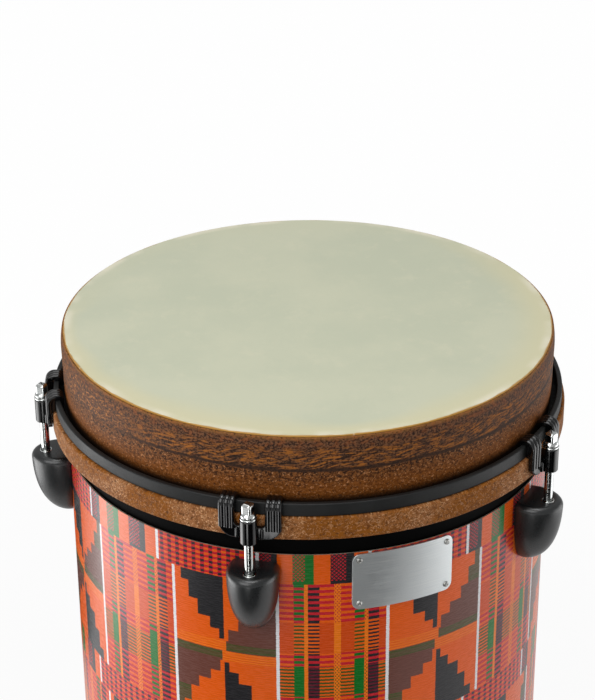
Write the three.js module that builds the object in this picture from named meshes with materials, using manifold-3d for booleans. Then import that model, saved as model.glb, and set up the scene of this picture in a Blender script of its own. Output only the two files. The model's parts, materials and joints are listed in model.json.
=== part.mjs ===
// A tall free-standing hand drum: a straight fibre tube with an inner sound tube, and a head that is
// tuned by rods, claws and lugs. Millimetres, +Z up. The origin is on the floor under the drum's axis,
// and the badge plate faces -Y.

import * as THREE from 'three';
import { mergeVertices } from 'three/addons/utils/BufferGeometryUtils.js';
import loadManifold from 'manifold-3d';

const wasm = await loadManifold();
wasm.setup();

// Whole drum
const overallHeight = 686; // floor to playing surface
const seatGap = 0.3; // gap between pieces that seat on each other
const ringSides = 48; // facets of the large round pieces
const pinSides = 10; // facets of rods, screws and bushes
const arcSteps = 1; // half the number of chords in a small rounded corner
const cornerSteps = 2; // half the number of chords in a plate's rounded corner

// Shell, with its rounded bearing edge under the film
const neckRadius = 150.8;
const bodyStep = 1; // the wrapped body stands out this far from the neck
const shellWall = 7;
const bearingRound = 2.6;

// Printed wrap
const wrapThickness = 0.6;
const wrapTopDrop = 78.7; // playing surface down to the wrap's upper edge
const wrapBottomMargin = 10; // bare shell below the wrap

// Head: film, collar and flesh hoop
const filmThickness = 0.4;
const filmStand = 1.2; // the film's turned-down edge stands this far off the neck
const filmRound = 1;
const filmSkirt = 2.9; // straight edge of the film below its rounding
const collarStand = 1; // the collar's foot stands this far off the neck
const collarThickness = 1.5;
const collarTopDrop = 1.1; // playing surface down to the collar's rim
const fleshHoopDrop = 48.4; // playing surface down to the flesh hoop's top
const fleshHoopHeight = 14.7;
const fleshHoopRound = 1.6;
const fleshHoopLip = 1.9; // the flesh hoop stands out this far from the counterhoop

// Counterhoop, a flat steel band
const hoopSlot = 3.7; // space between collar and counterhoop
const hoopThickness = 3.3;
const hoopHeight = 8.1;

// Tension stations round the drum
const lugCount = 5;
const firstLugAngle = -123.2; // degrees from +X

// Claws: two ribbed fingers that hook over the counterhoop, and a boss for the rod
const clawWidth = 36.7;
const clawClearance = 0.5; // claw to flesh hoop
const clawThickness = 3.2;
const clawDrop = 61.6; // playing surface down to the lower edge of the claw
const clawBarHeight = 7.6;
const clawCorner = 9;
const clawInnerCorner = 3;
const fingerWidth = 9.6;
const hookThickness = 3.6;
const hookRound = 5.6;
const lipRound = 5;
const lipDepth = 3.2; // how far the hook reaches down inside the counterhoop
const lipThickness = 1.3;
const ribCount = 3;
const ribWidth = 2;
const ribHeight = 0.7;
const ribMargin = 0.3; // outer ribs to the finger's edges
const bossRadius = 5;
const bossHeight = 15.4;
const bossRise = 14.4; // top of the boss above the lower edge of the claw

// Tension rods and their washers
const rodRadius = 2.75;
const rodBoreGap = 0.35; // between the rod and what it passes through
const rodEngagement = 24; // length of rod below the top of the lug
const rodEndRoom = 5; // bore left below the end of the rod
const washerRadius = 5;
const washerThickness = 1.2;
const rodFlangeRadius = 4.6;
const rodFlangeHeight = 1.6;
const rodHeadWidth = 6.35;
const rodHeadHeight = 7.2;
const rodHeadRound = 1;

// Lugs, bullet-shaped housings with a threaded bush for the rod
const lugDrop = 84; // playing surface down to the top of the lug
const lugHeight = 43.3;
const lugWidth = 31;
const lugReach = 24.4; // from the wrap to the outermost point
const lugRound = 4;
const lugReachFullness = 2.35; // superellipse exponent of the side outline
const lugWidthFullness = 2.4; // superellipse exponent of the front outline
const lugCentreShare = 0.25; // middle of a lug section as a share of its reach
const lugSides = 18;
const lugRings = 5;
const insertRadius = 3.9;
const insertLength = 17; // inside the lug
const insertStand = 0.5; // the bush stands this far above the lug

// Screws that hold the lugs from inside the shell
const lugScrewRadius = 2.4;
const lugScrewBite = 6.5; // length of screw inside the lug
const lugScrewHeadRadius = 4.5;
const lugScrewHeadHeight = 2.6;
const lugScrewDrops = { upper: 9, lower: 31 }; // below the top of the lug

// Badge plate and its rivets
const badgeAngle = -90; // degrees from +X
const plateWidth = 64;
const plateHeight = 38;
const plateCorner = 5;
const plateThickness = 1;
const plateDrop = 79.5; // playing surface down to the plate's upper edge
const rivetInset = 4.2; // rivet to the plate's edges
const rivetRadius = 1.2;
const rivetHeadRadius = 1.9;
const rivetHeadHeight = 1.1;
const rivetDepth = 5; // length of rivet inside the shell

// Base board, sound tube and feet
const boardThickness = 12;
const boardRecess = 6; // underside of the board above the shell's lower edge
const portRadius = 62;
const portWall = 4;
const portLength = 220;
const footCount = 4;
const firstFootAngle = 45; // degrees from +X
const footCircle = 112; // radius of the circle of feet
const footHeight = 26;
const footTopRadius = 19;
const footBottomRadius = 16;
const footRound = 2;
const footSides = 16;
const footPocketRadius = 6.5;
const footPocketDepth = 12;
const footScrewRadius = 2.4;
const footScrewHeadRadius = 5;
const footScrewHeadHeight = 3;
const footScrewBite = 9; // length of screw inside the board

// Places that several pieces share
const facetShare = Math.cos(Math.PI / ringSides); // radius to a facet's middle over that to its corners
const bodyRadius = neckRadius + bodyStep;
const shellInner = bodyRadius - shellWall;
const wrapInner = bodyRadius + seatGap;
const wrapOuter = wrapInner + wrapThickness;
const filmInner = neckRadius + filmStand;
const filmOuter = filmInner + filmThickness;
const collarInner = neckRadius + collarStand;
const collarOuter = collarInner + collarThickness;
const rimInner = filmOuter + seatGap;
const rimOuter = rimInner + collarThickness;
const hoopInner = collarOuter + hoopSlot;
const hoopOuter = hoopInner + hoopThickness;
const fleshHoopOuter = hoopOuter + fleshHoopLip;
const clawInner = fleshHoopOuter + clawClearance;
const rodAxis = clawInner + bossRadius;
const lugBack = wrapOuter + seatGap;
const plateBack = wrapOuter + seatGap;
const plateFront = plateBack + plateThickness;
const portOuter = portRadius + portWall;

const wrapTop = overallHeight - wrapTopDrop;
const bearingTop = overallHeight - filmThickness - seatGap;
const rimTop = overallHeight - collarTopDrop;
const fleshHoopTop = overallHeight - fleshHoopDrop;
const fleshHoopBottom = fleshHoopTop - fleshHoopHeight;
const hoopBottom = fleshHoopTop + seatGap;
const hoopTop = hoopBottom + hoopHeight;
const hookUnderside = hoopTop + seatGap;
const clawBottom = overallHeight - clawDrop;
const bossTop = clawBottom + bossRise;
const washerBottom = bossTop + seatGap;
const rodFlangeBottom = washerBottom + washerThickness + seatGap;
const lugTop = overallHeight - lugDrop;
const rodEnd = lugTop - rodEngagement;
const insertBottom = lugTop - insertLength;
const boardUnderside = footHeight + seatGap;
const boardTop = boardUnderside + boardThickness;
const shellBottom = boardUnderside - boardRecess;
const screwReach = lugBack + lugScrewBite;

const lugAngles = spacedAngles(lugCount, firstLugAngle);
const footAngles = spacedAngles(footCount, firstFootAngle);

// Colour, roughness and metalness of each finish
const finishes = {
  blackFibre: [0x1a1a1b, 0.75, 0],
  printedCloth: [0xc9551b, 0.7, 0],
  film: [0xd3d3ba, 0.5, 0],
  brownFibre: [0x5a3620, 0.75, 0],
  tanFibre: [0x9c6636, 0.8, 0],
  blackSteel: [0x3a3c3e, 0.5, 0.6],
  blackGloss: [0x101112, 0.2, 0.3],
  plating: [0xd8d8d4, 0.12, 1],
  blackPlastic: [0x222425, 0.45, 0],
  aluminium: [0xb9bab8, 0.35, 1],
  screwSteel: [0x8f8f8c, 0.35, 1],
  paintedBoard: [0x1d1c1b, 0.8, 0],
  greyBoard: [0x6a6258, 0.9, 0],
  rubber: [0x161616, 0.9, 0],
};

function radians(degrees) {
  return THREE.MathUtils.degToRad(degrees);
}

// Angles spread evenly round the drum.
function spacedAngles(count, first) {
  return Array.from({ length: count }, (_, i) => radians(first + (360 * i) / count));
}

// A profile of [radius, height] corners, listed anticlockwise, that closes on itself or on the axis.
function cornered(corners) {
  const path = new THREE.Path(corners.map(([radius, height]) => new THREE.Vector2(radius, height)));
  path.autoClose = corners[0][0] > 0;
  return path;
}

// Runs a path straight to the start of an arc and then round it.
function rounded(path, x, y, radius, from, to) {
  path.lineTo(x + radius * Math.cos(from), y + radius * Math.sin(from));
  path.absarc(x, y, radius, from, to, to < from);
}

// Turns a profile about Z.
function turned(profile, sides) {
  const geometry = new THREE.LatheGeometry(profile.getPoints(arcSteps), sides);
  geometry.rotateX(Math.PI / 2);
  return geometry;
}

function cylinder(radius, low, high, sides) {
  return turned(cornered([[0, low], [radius, low], [radius, high], [0, high]]), sides);
}

function ring(inner, outer, low, high, sides) {
  return turned(cornered([[inner, low], [outer, low], [outer, high], [inner, high]]), sides);
}

// A ring whose outer edges are rounded.
function roundedRing(inner, outer, low, high, round) {
  const profile = new THREE.Path();
  profile.moveTo(inner, low);
  rounded(profile, outer - round, low + round, round, -Math.PI / 2, 0);
  rounded(profile, outer - round, high - round, round, 0, Math.PI / 2);
  profile.lineTo(inner, high);
  profile.autoClose = true;
  return turned(profile, ringSides);
}

// Turns a shape along Z so that it lies along X, the radial direction of a station.
function radial(geometry) {
  return geometry.rotateY(Math.PI / 2);
}

// Extrudes an outline of [radius, height] along Y, centred on Y = 0.
function sideways(outline, width) {
  const options = { depth: width, bevelEnabled: false, curveSegments: arcSteps };
  const geometry = new THREE.ExtrudeGeometry(outline, options);
  geometry.rotateX(Math.PI / 2);
  return geometry.translate(0, width / 2, 0);
}

// Extrudes a front outline of [sideways, height] outwards from the given radius.
function outwards(outline, depth, radius) {
  const options = { depth, bevelEnabled: false, curveSegments: cornerSteps };
  const geometry = new THREE.ExtrudeGeometry(outline, options);
  const out = new THREE.Vector3(1, 0, 0);
  const across = new THREE.Vector3(0, 1, 0);
  const up = new THREE.Vector3(0, 0, 1);
  geometry.applyMatrix4(new THREE.Matrix4().makeBasis(across, up, out));
  return geometry.translate(radius, 0, 0);
}

// A closed solid for joining and cutting.
function solid(geometry) {
  const bare = geometry.clone();
  bare.deleteAttribute('normal');
  bare.deleteAttribute('uv');
  const merged = mergeVertices(bare, 1e-4);
  const corners = merged.index.array;
  const triVerts = [];
  for (let i = 0; i < corners.length; i += 3) {
    const [a, b, c] = corners.slice(i, i + 3);
    if (a !== b && b !== c && c !== a) triVerts.push(a, b, c);
  }
  return new wasm.Manifold(new wasm.Mesh({
    numProp: 3,
    vertProperties: new Float32Array(merged.attributes.position.array),
    triVerts: new Uint32Array(triVerts),
  }));
}

function geometryOf(manifold) {
  const mesh = manifold.getMesh();
  const geometry = new THREE.BufferGeometry();
  geometry.setAttribute('position', new THREE.BufferAttribute(new Float32Array(mesh.vertProperties), 3));
  geometry.setIndex(new THREE.BufferAttribute(new Uint32Array(mesh.triVerts), 1));
  geometry.computeVertexNormals();
  return geometry;
}

function cut(body, tools) {
  return geometryOf(tools.reduce((left, tool) => left.subtract(solid(tool)), solid(body)));
}

function join(pieces) {
  return geometryOf(pieces.map(solid).reduce((whole, piece) => whole.add(piece)));
}

function common(one, other) {
  return geometryOf(solid(one).intersect(solid(other)));
}

const drum = new THREE.Group();

// A nested group turned to an angle round the drum, whose X axis points outwards.
function station(angle) {
  const group = new THREE.Group();
  group.rotation.z = angle;
  drum.add(group);
  return group;
}

function place(parent, name, finish, geometry) {
  const [color, roughness, metalness] = finishes[finish];
  const mesh = new THREE.Mesh(geometry, new THREE.MeshStandardMaterial({ color, roughness, metalness }));
  mesh.name = name;
  parent.add(mesh);
  return mesh;
}

// Holes through the shell and the wrap

function lugScrewHole() {
  const start = shellInner - lugScrewHeadHeight;
  return radial(cylinder(lugScrewRadius + seatGap, start, screwReach + seatGap, pinSides));
}

function lugScrewHoles() {
  const heights = Object.values(lugScrewDrops).map((drop) => lugTop - drop);
  return heights.map((height) => lugScrewHole().translate(0, 0, height));
}

const rivetAngle = (plateWidth / 2 - rivetInset) / plateFront;
const rivetHeights = [rivetInset, plateHeight - rivetInset].map((down) => overallHeight - plateDrop - down);
const rivetTurns = [-rivetAngle, rivetAngle];
const rivetPlaces = rivetHeights.flatMap((height) => rivetTurns.map((turn) => ({ turn, height })));

function rivetHole() {
  const start = bodyRadius - rivetDepth - seatGap;
  return radial(cylinder(rivetRadius + seatGap, start, plateFront + rivetHeadHeight, pinSides));
}

function rivetHoles(angle) {
  return rivetPlaces.map(({ turn, height }) => rivetHole().translate(0, 0, height).rotateZ(angle + turn));
}

const shellHoles = [
  ...lugAngles.flatMap((angle) => lugScrewHoles().map((hole) => hole.rotateZ(angle))),
  ...rivetHoles(radians(badgeAngle)),
];

// Shell and wrap

function shellBlank() {
  const roundCentre = neckRadius - bearingRound;
  const profile = new THREE.Path();
  profile.moveTo(shellInner, shellBottom);
  profile.lineTo(bodyRadius, shellBottom);
  profile.lineTo(bodyRadius, wrapTop);
  profile.lineTo(neckRadius, wrapTop);
  rounded(profile, roundCentre, bearingTop - bearingRound, bearingRound, 0, Math.PI / 2);
  profile.lineTo(shellInner, bearingTop - (roundCentre - shellInner));
  profile.autoClose = true;
  return turned(profile, ringSides);
}

place(drum, 'shell', 'blackFibre', cut(shellBlank(), shellHoles));

const wrapBlank = ring(wrapInner, wrapOuter, shellBottom + wrapBottomMargin, wrapTop, ringSides);
place(drum, 'shell_wrap', 'printedCloth', cut(wrapBlank, shellHoles));

// Head, from the playing surface down to the flesh hoop, and the counterhoop on it

function filmDisc() {
  const roundCentre = filmOuter - filmRound;
  const roundHeight = overallHeight - filmRound;
  const skirtBottom = roundHeight - filmSkirt;
  const profile = new THREE.Path();
  profile.moveTo(0, overallHeight - filmThickness);
  rounded(profile, roundCentre, roundHeight, filmRound - filmThickness, Math.PI / 2, 0);
  profile.lineTo(filmInner, skirtBottom);
  profile.lineTo(filmOuter, skirtBottom);
  rounded(profile, roundCentre, roundHeight, filmRound, 0, Math.PI / 2);
  profile.lineTo(0, overallHeight);
  return turned(profile, ringSides);
}

// Side wall of the head: straight inside the flesh hoop, and flared from there up to its rim round the film.
function collar() {
  const profile = cornered([
    [collarInner, fleshHoopBottom],
    [collarOuter, fleshHoopBottom],
    [collarOuter, fleshHoopTop],
    [rimOuter, rimTop],
    [rimInner, rimTop],
    [collarInner, fleshHoopTop],
  ]);
  return turned(profile, ringSides);
}

place(drum, 'head_film', 'film', filmDisc());
place(drum, 'head_collar', 'brownFibre', collar());
const fleshHoopInner = collarOuter + seatGap;
const fleshHoop = roundedRing(fleshHoopInner, fleshHoopOuter, fleshHoopBottom, fleshHoopTop, fleshHoopRound);
place(drum, 'flesh_hoop', 'tanFibre', fleshHoop);
place(drum, 'counterhoop', 'blackSteel', ring(hoopInner, hoopOuter, hoopBottom, hoopTop, ringSides));

// Claw

// Side outline of one finger and its hook.
function hookOutline(bottom) {
  const front = clawInner + clawThickness;
  const top = hookUnderside + hookThickness;
  const lipOuter = Math.sqrt((hoopInner * facetShare) ** 2 - (fingerWidth / 2) ** 2) - seatGap;
  const lipInner = lipOuter - lipThickness;
  const lipBottom = hoopTop - lipDepth;
  const innerRound = Math.min(lipRound, front - lipInner - hookRound);
  const outline = new THREE.Shape();
  outline.moveTo(clawInner, bottom);
  outline.lineTo(front, bottom);
  rounded(outline, front - hookRound, top - hookRound, hookRound, 0, Math.PI / 2);
  rounded(outline, lipInner + innerRound, top - innerRound, innerRound, Math.PI / 2, Math.PI);
  outline.lineTo(lipInner, lipBottom);
  outline.lineTo(lipOuter, lipBottom);
  outline.lineTo(lipOuter, hookUnderside);
  outline.lineTo(clawInner, hookUnderside);
  outline.closePath();
  return outline;
}

// Front outline of the lower half of the claw, a U whose arms carry the fingers.
function yokeOutline(armTop) {
  const half = clawWidth / 2;
  const inside = half - fingerWidth;
  const barTop = clawBottom + clawBarHeight;
  const outline = new THREE.Shape();
  outline.moveTo(-half, armTop);
  rounded(outline, clawCorner - half, clawBottom + clawCorner, clawCorner, Math.PI, 1.5 * Math.PI);
  rounded(outline, half - clawCorner, clawBottom + clawCorner, clawCorner, 1.5 * Math.PI, 2 * Math.PI);
  outline.lineTo(half, armTop);
  outline.lineTo(inside, armTop);
  const innerHeight = barTop + clawInnerCorner;
  rounded(outline, inside - clawInnerCorner, innerHeight, clawInnerCorner, 0, -Math.PI / 2);
  rounded(outline, clawInnerCorner - inside, innerHeight, clawInnerCorner, -Math.PI / 2, -Math.PI);
  outline.lineTo(-inside, armTop);
  outline.closePath();
  return outline;
}

// Raised rib on the front of a finger, sunk into it by its own height.
function rib(bottom) {
  const length = hookUnderside + hookThickness - hookRound - bottom;
  const block = new THREE.BoxGeometry(2 * ribHeight, ribWidth, length);
  return block.translate(clawInner + clawThickness, 0, bottom + length / 2);
}

// The fingers are turned about the drum's axis, so that each lies square to the hoops.
function claw() {
  const armTop = fleshHoopTop;
  const fingerBottom = clawBottom + clawCorner;
  const fingerTurn = Math.asin((clawWidth - fingerWidth) / 2 / clawInner);
  const ribPitch = (fingerWidth - ribWidth - 2 * ribMargin) / (ribCount - 1);
  const ribShifts = Array.from({ length: ribCount }, (_, i) => (i - (ribCount - 1) / 2) * ribPitch);
  const finger = () => [
    sideways(hookOutline(fingerBottom), fingerWidth),
    ...ribShifts.map((shift) => rib(fingerBottom).translate(0, shift, 0)),
  ];
  const fingers = [-fingerTurn, fingerTurn].flatMap((turn) => finger().map((piece) => piece.rotateZ(turn)));
  const boss = cylinder(bossRadius, bossTop - bossHeight, bossTop, pinSides).translate(rodAxis, 0, 0);
  const bore = cylinder(rodRadius + rodBoreGap, bossTop - 2 * bossHeight, bossTop + bossHeight, pinSides);
  const body = join([outwards(yokeOutline(armTop), clawThickness, clawInner), ...fingers, boss]);
  return cut(body, [bore.translate(rodAxis, 0, 0)]);
}

// Tension rod: threaded shank, flange and square head

function tensionRod() {
  const flangeTop = rodFlangeBottom + rodFlangeHeight;
  const shank = cornered([
    [0, rodEnd],
    [rodRadius, rodEnd],
    [rodRadius, rodFlangeBottom],
    [rodFlangeRadius, rodFlangeBottom],
    [rodFlangeRadius, flangeTop],
    [0, flangeTop],
  ]);
  const half = rodHeadWidth / 2 - rodHeadRound;
  const square = new THREE.Shape();
  square.moveTo(-half, -half);
  square.lineTo(half, -half);
  square.lineTo(half, half);
  square.lineTo(-half, half);
  square.closePath();
  const rounding = { bevelThickness: rodHeadRound, bevelSize: rodHeadRound, bevelSegments: 2 };
  const head = new THREE.ExtrudeGeometry(square, { depth: rodHeadHeight - rodHeadRound, ...rounding });
  head.translate(0, 0, flangeTop);
  return join([turned(shank, pinSides), head]).translate(rodAxis, 0, 0);
}

function rodWasher() {
  const top = washerBottom + washerThickness;
  const washer = ring(rodRadius + rodBoreGap, washerRadius, washerBottom, top, pinSides);
  return washer.translate(rodAxis, 0, 0);
}

// Lug

function fullness(share, exponent) {
  return (1 - share ** exponent) ** (1 / exponent);
}

// A turned blank of unit radius, whose sections are then stretched to the lug's width and reach.
function lugBlank() {
  const profile = new THREE.Path();
  const roundShare = lugRound / (lugWidth / 2);
  profile.moveTo(0, -lugHeight);
  for (let i = lugRings; i > 0; i -= 1) {
    const turn = (i / (lugRings + 0.5)) * (Math.PI / 2);
    profile.lineTo(1, -lugRound - (lugHeight - lugRound) * Math.sin(turn));
  }
  profile.absellipse(1 - roundShare, -lugRound, roundShare, lugRound, 0, Math.PI / 2);
  profile.lineTo(0, 0);
  const blank = turned(profile, lugSides);
  const points = blank.attributes.position;
  for (let i = 0; i < points.count; i += 1) {
    const share = THREE.MathUtils.clamp(-points.getZ(i) / lugHeight, 0, 1);
    const reach = lugReach * fullness(share, lugReachFullness);
    const half = (lugWidth / 2) * fullness(share, lugWidthFullness);
    const out = reach * (lugCentreShare + (1 - lugCentreShare) * points.getX(i));
    points.setXYZ(i, wrapOuter + out, half * points.getY(i), lugTop + points.getZ(i));
  }
  return blank;
}

function lug() {
  const shellCurve = cylinder(lugBack, lugTop - 2 * lugHeight, lugTop + lugHeight, 2 * ringSides);
  const bore = cylinder(rodRadius + rodBoreGap, rodEnd - rodEndRoom, lugTop + lugHeight, pinSides);
  const pocket = cylinder(insertRadius + seatGap, insertBottom - seatGap, lugTop + lugHeight, pinSides);
  const holes = [bore, pocket].map((hole) => hole.translate(rodAxis, 0, 0));
  return cut(lugBlank(), [shellCurve, ...holes, ...lugScrewHoles()]);
}

// Threaded bush, which stands a little above the lug's top.
function lugInsert() {
  const bush = ring(rodRadius + rodBoreGap, insertRadius, insertBottom, lugTop + insertStand, pinSides);
  return bush.translate(rodAxis, 0, 0);
}

// Pan-headed screw along X, with its head inside the shell.
function lugScrew(height) {
  const seat = Math.sqrt((shellInner * facetShare) ** 2 - lugScrewHeadRadius ** 2) - seatGap;
  const profile = cornered([
    [0, seat - lugScrewHeadHeight],
    [lugScrewHeadRadius, seat - lugScrewHeadHeight],
    [lugScrewHeadRadius, seat],
    [lugScrewRadius, seat],
    [lugScrewRadius, screwReach],
    [0, screwReach],
  ]);
  return radial(turned(profile, pinSides)).translate(0, 0, height);
}

lugAngles.forEach((angle, i) => {
  const group = station(angle);
  place(group, `claw_${i + 1}`, 'blackGloss', claw());
  place(group, `tension_rod_${i + 1}`, 'plating', tensionRod());
  place(group, `rod_washer_${i + 1}`, 'plating', rodWasher());
  place(group, `lug_${i + 1}`, 'blackPlastic', lug());
  place(group, `lug_insert_${i + 1}`, 'plating', lugInsert());
  for (const [which, drop] of Object.entries(lugScrewDrops)) {
    place(group, `lug_screw_${which}_${i + 1}`, 'screwSteel', lugScrew(lugTop - drop));
  }
});

// Badge plate, bent to the shell, and its rivets

function badgePlate() {
  const half = plateWidth / 2 - plateCorner;
  const top = overallHeight - plateDrop - plateCorner;
  const bottom = overallHeight - plateDrop - plateHeight + plateCorner;
  const outline = new THREE.Shape();
  outline.absarc(half, top, plateCorner, 0, Math.PI / 2);
  outline.absarc(-half, top, plateCorner, Math.PI / 2, Math.PI);
  outline.absarc(-half, bottom, plateCorner, Math.PI, 1.5 * Math.PI);
  outline.absarc(half, bottom, plateCorner, 1.5 * Math.PI, 2 * Math.PI);
  outline.closePath();
  const blank = ring(plateBack, plateFront, bottom - plateHeight, top + plateHeight, ringSides);
  const plate = common(blank, outwards(outline, plateFront, plateFront / 2));
  return cut(plate, rivetHoles(0));
}

// Dome-headed rivet along X.
function badgeRivet() {
  const headBase = plateFront + seatGap;
  const profile = new THREE.Path();
  profile.moveTo(0, bodyRadius - rivetDepth);
  profile.lineTo(rivetRadius, bodyRadius - rivetDepth);
  profile.lineTo(rivetRadius, headBase);
  profile.absellipse(0, headBase, rivetHeadRadius, rivetHeadHeight, 0, Math.PI / 2);
  return radial(turned(profile, pinSides));
}

place(station(radians(badgeAngle)), 'badge_plate', 'aluminium', badgePlate());
rivetPlaces.forEach(({ turn, height }, i) => {
  const group = station(radians(badgeAngle) + turn);
  const rivet = place(group, `badge_rivet_${i + 1}`, 'screwSteel', badgeRivet());
  rivet.position.z = height;
});

// Base board with the sound tube in its hole, and the feet screwed under it

function footScrewHoles() {
  const end = boardUnderside + footScrewBite + seatGap;
  const hole = () => cylinder(footScrewRadius + seatGap, 0, end, pinSides);
  return footAngles.map((angle) => hole().translate(footCircle, 0, 0).rotateZ(angle));
}

const boardBlank = ring(portOuter + seatGap, shellInner - seatGap, boardUnderside, boardTop, ringSides);
place(drum, 'base_board', 'paintedBoard', cut(boardBlank, footScrewHoles()));
const portTube = ring(portRadius, portOuter, boardUnderside, boardUnderside + portLength, ringSides);
place(drum, 'port_tube', 'greyBoard', portTube);

// Tapered rubber foot with a pocket for the head of its screw.
function foot() {
  const shaft = footScrewRadius + seatGap;
  const profile = new THREE.Path();
  profile.moveTo(footPocketRadius, 0);
  rounded(profile, footBottomRadius - footRound, footRound, footRound, -Math.PI / 2, 0);
  profile.lineTo(footTopRadius, footHeight);
  profile.lineTo(shaft, footHeight);
  profile.lineTo(shaft, footPocketDepth);
  profile.lineTo(footPocketRadius, footPocketDepth);
  profile.autoClose = true;
  return turned(profile, footSides);
}

function footScrew() {
  const seat = footPocketDepth - seatGap;
  return turned(cornered([
    [0, seat - footScrewHeadHeight],
    [footScrewHeadRadius, seat - footScrewHeadHeight],
    [footScrewHeadRadius, seat],
    [footScrewRadius, seat],
    [footScrewRadius, boardUnderside + footScrewBite],
    [0, boardUnderside + footScrewBite],
  ]), pinSides);
}

footAngles.forEach((angle, i) => {
  const group = station(angle);
  const spot = new THREE.Group();
  spot.position.x = footCircle;
  group.add(spot);
  place(spot, `foot_${i + 1}`, 'rubber', foot());
  place(spot, `foot_screw_${i + 1}`, 'screwSteel', footScrew());
});

export default drum;
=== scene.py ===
# A tall hand drum with a rod-tuned head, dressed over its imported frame. Metres, +Z up, badge towards -Y.
import json
import math

import bmesh
import bpy
from mathutils import Matrix, Vector


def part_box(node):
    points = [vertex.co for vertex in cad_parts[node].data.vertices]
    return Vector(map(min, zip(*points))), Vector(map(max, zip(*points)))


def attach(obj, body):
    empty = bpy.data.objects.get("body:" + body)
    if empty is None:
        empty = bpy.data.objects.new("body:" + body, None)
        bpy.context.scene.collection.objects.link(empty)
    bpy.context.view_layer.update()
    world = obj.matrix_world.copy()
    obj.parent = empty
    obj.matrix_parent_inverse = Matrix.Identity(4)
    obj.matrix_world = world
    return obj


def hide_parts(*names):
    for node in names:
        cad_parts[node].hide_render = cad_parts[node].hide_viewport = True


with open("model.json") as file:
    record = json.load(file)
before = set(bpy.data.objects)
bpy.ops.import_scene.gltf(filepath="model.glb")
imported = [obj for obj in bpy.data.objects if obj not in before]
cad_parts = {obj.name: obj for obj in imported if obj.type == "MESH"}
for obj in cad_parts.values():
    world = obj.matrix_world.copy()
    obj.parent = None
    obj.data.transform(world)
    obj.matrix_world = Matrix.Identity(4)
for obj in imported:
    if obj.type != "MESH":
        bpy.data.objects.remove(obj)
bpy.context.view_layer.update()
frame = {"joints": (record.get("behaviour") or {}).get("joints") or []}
bpy.context.scene.view_settings.view_transform = "Standard"

# Shell: one straight tube of pressed wood fibre, sprayed satin black. Its top is turned to a round bearing
# edge that carries the film, and the neck above the wrap stays bare.

mm = 0.001
shell_low, shell_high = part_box("shell")
wrap_low, wrap_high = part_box("shell_wrap")
film_low, film_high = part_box("head_film")
playing_height = film_high.z
shell_wall = 7 * mm
neck_step = 1 * mm
bearing_round = 2.6 * mm
inner_bevel = 3.4 * mm
end_round = 0.8 * mm
cut_round = 0.3 * mm
bevel_round = 0.5 * mm
ring_steps = 192


def colour(red, green, blue):
    """The linear colour of a screen colour given as 0 to 255."""
    parts = [value / 255 for value in (red, green, blue)]
    linear = [p / 12.92 if p <= 0.04045 else ((p + 0.055) / 1.055) ** 2.4 for p in parts]
    return (*linear, 1.0)


def round_off(bm, parts, offset, segments, affect="EDGES"):
    bmesh.ops.bevel(bm, geom=parts, offset=offset, offset_type="OFFSET", segments=segments, profile=0.5,
                    affect=affect, material=-1)


def outline(corners, segments=4):
    """A closed wire of (radius, height, rounding) corners in the XZ plane; on the axis it stays open."""
    bm = bmesh.new()
    verts = [bm.verts.new((radius, 0, height)) for radius, height, rounding in corners]
    for start, end in zip(verts, verts[1:]):
        bm.edges.new((start, end))
    first_radius = corners[0][0]
    if first_radius > 0:
        bm.edges.new((verts[-1], verts[0]))
    for vert, (radius, height, rounding) in zip(verts, corners):
        if rounding:
            round_off(bm, [vert], rounding, segments, "VERTICES")
    return bm


def turned(corners, steps=ring_steps, segments=4):
    """An outline spun once round the Z axis."""
    bm = outline(corners, segments)
    bmesh.ops.spin(bm, geom=bm.verts[:] + bm.edges[:], axis=(0, 0, 1), cent=(0, 0, 0), dvec=(0, 0, 0),
                   angle=2 * math.pi, steps=steps, use_merge=True, use_duplicate=False)
    bmesh.ops.remove_doubles(bm, verts=bm.verts, dist=1e-7)
    bmesh.ops.recalc_face_normals(bm, faces=bm.faces)
    return bm


def new_object(name, bm, finish):
    """A mesh object in the scene, made from a bmesh that is then freed."""
    mesh = bpy.data.meshes.new(name)
    bm.to_mesh(mesh)
    bm.free()
    mesh.materials.append(finish)
    made = bpy.data.objects.new(name, mesh)
    bpy.context.scene.collection.objects.link(made)
    return made


def add_piece(name, bm, finish, slot, body, *nodes, place=None, crease=40):
    """A piece, moved to its place, that rides on a body for its CAD nodes. Edges sharper than the crease
    angle stay hard, and flat sides keep their own normals next to rounded edges."""
    if place:
        bmesh.ops.transform(bm, matrix=place, verts=bm.verts)
    for face in bm.faces:
        face.smooth = True
    for edge in bm.edges:
        edge.smooth = edge.calc_face_angle(0) < math.radians(crease)
    piece = new_object(name, bm, finish)
    piece.modifiers.new("true_flats", "WEIGHTED_NORMAL").keep_sharp = True
    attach(piece, body)
    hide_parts(*nodes)
    return piece


def new_finish(name, base, roughness, **settings):
    """A material and its one Principled shader."""
    finish = bpy.data.materials.new(name)
    finish.use_nodes = True
    shader = finish.node_tree.nodes["Principled BSDF"]
    shader.inputs["Base Color"].default_value = base
    shader.inputs["Roughness"].default_value = roughness
    for setting, value in settings.items():
        shader.inputs[setting.replace("_", " ").title().replace("Ior", "IOR")].default_value = value
    return finish, shader


def feed(socket, value):
    """Link an output to a socket, or set the socket to a plain value."""
    if isinstance(value, bpy.types.NodeSocket):
        socket.id_data.links.new(value, socket)
    else:
        socket.default_value = value


def node_beside(kind, *values):
    """A new node in the tree of the first output among these values."""
    output = next(value for value in values if isinstance(value, bpy.types.NodeSocket))
    return output.id_data.nodes.new(kind)


def maths(operation, *values):
    made = node_beside("ShaderNodeMath", *values)
    made.operation = operation
    for socket, value in zip(made.inputs, values):
        feed(socket, value)
    return made.outputs[0]


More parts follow.
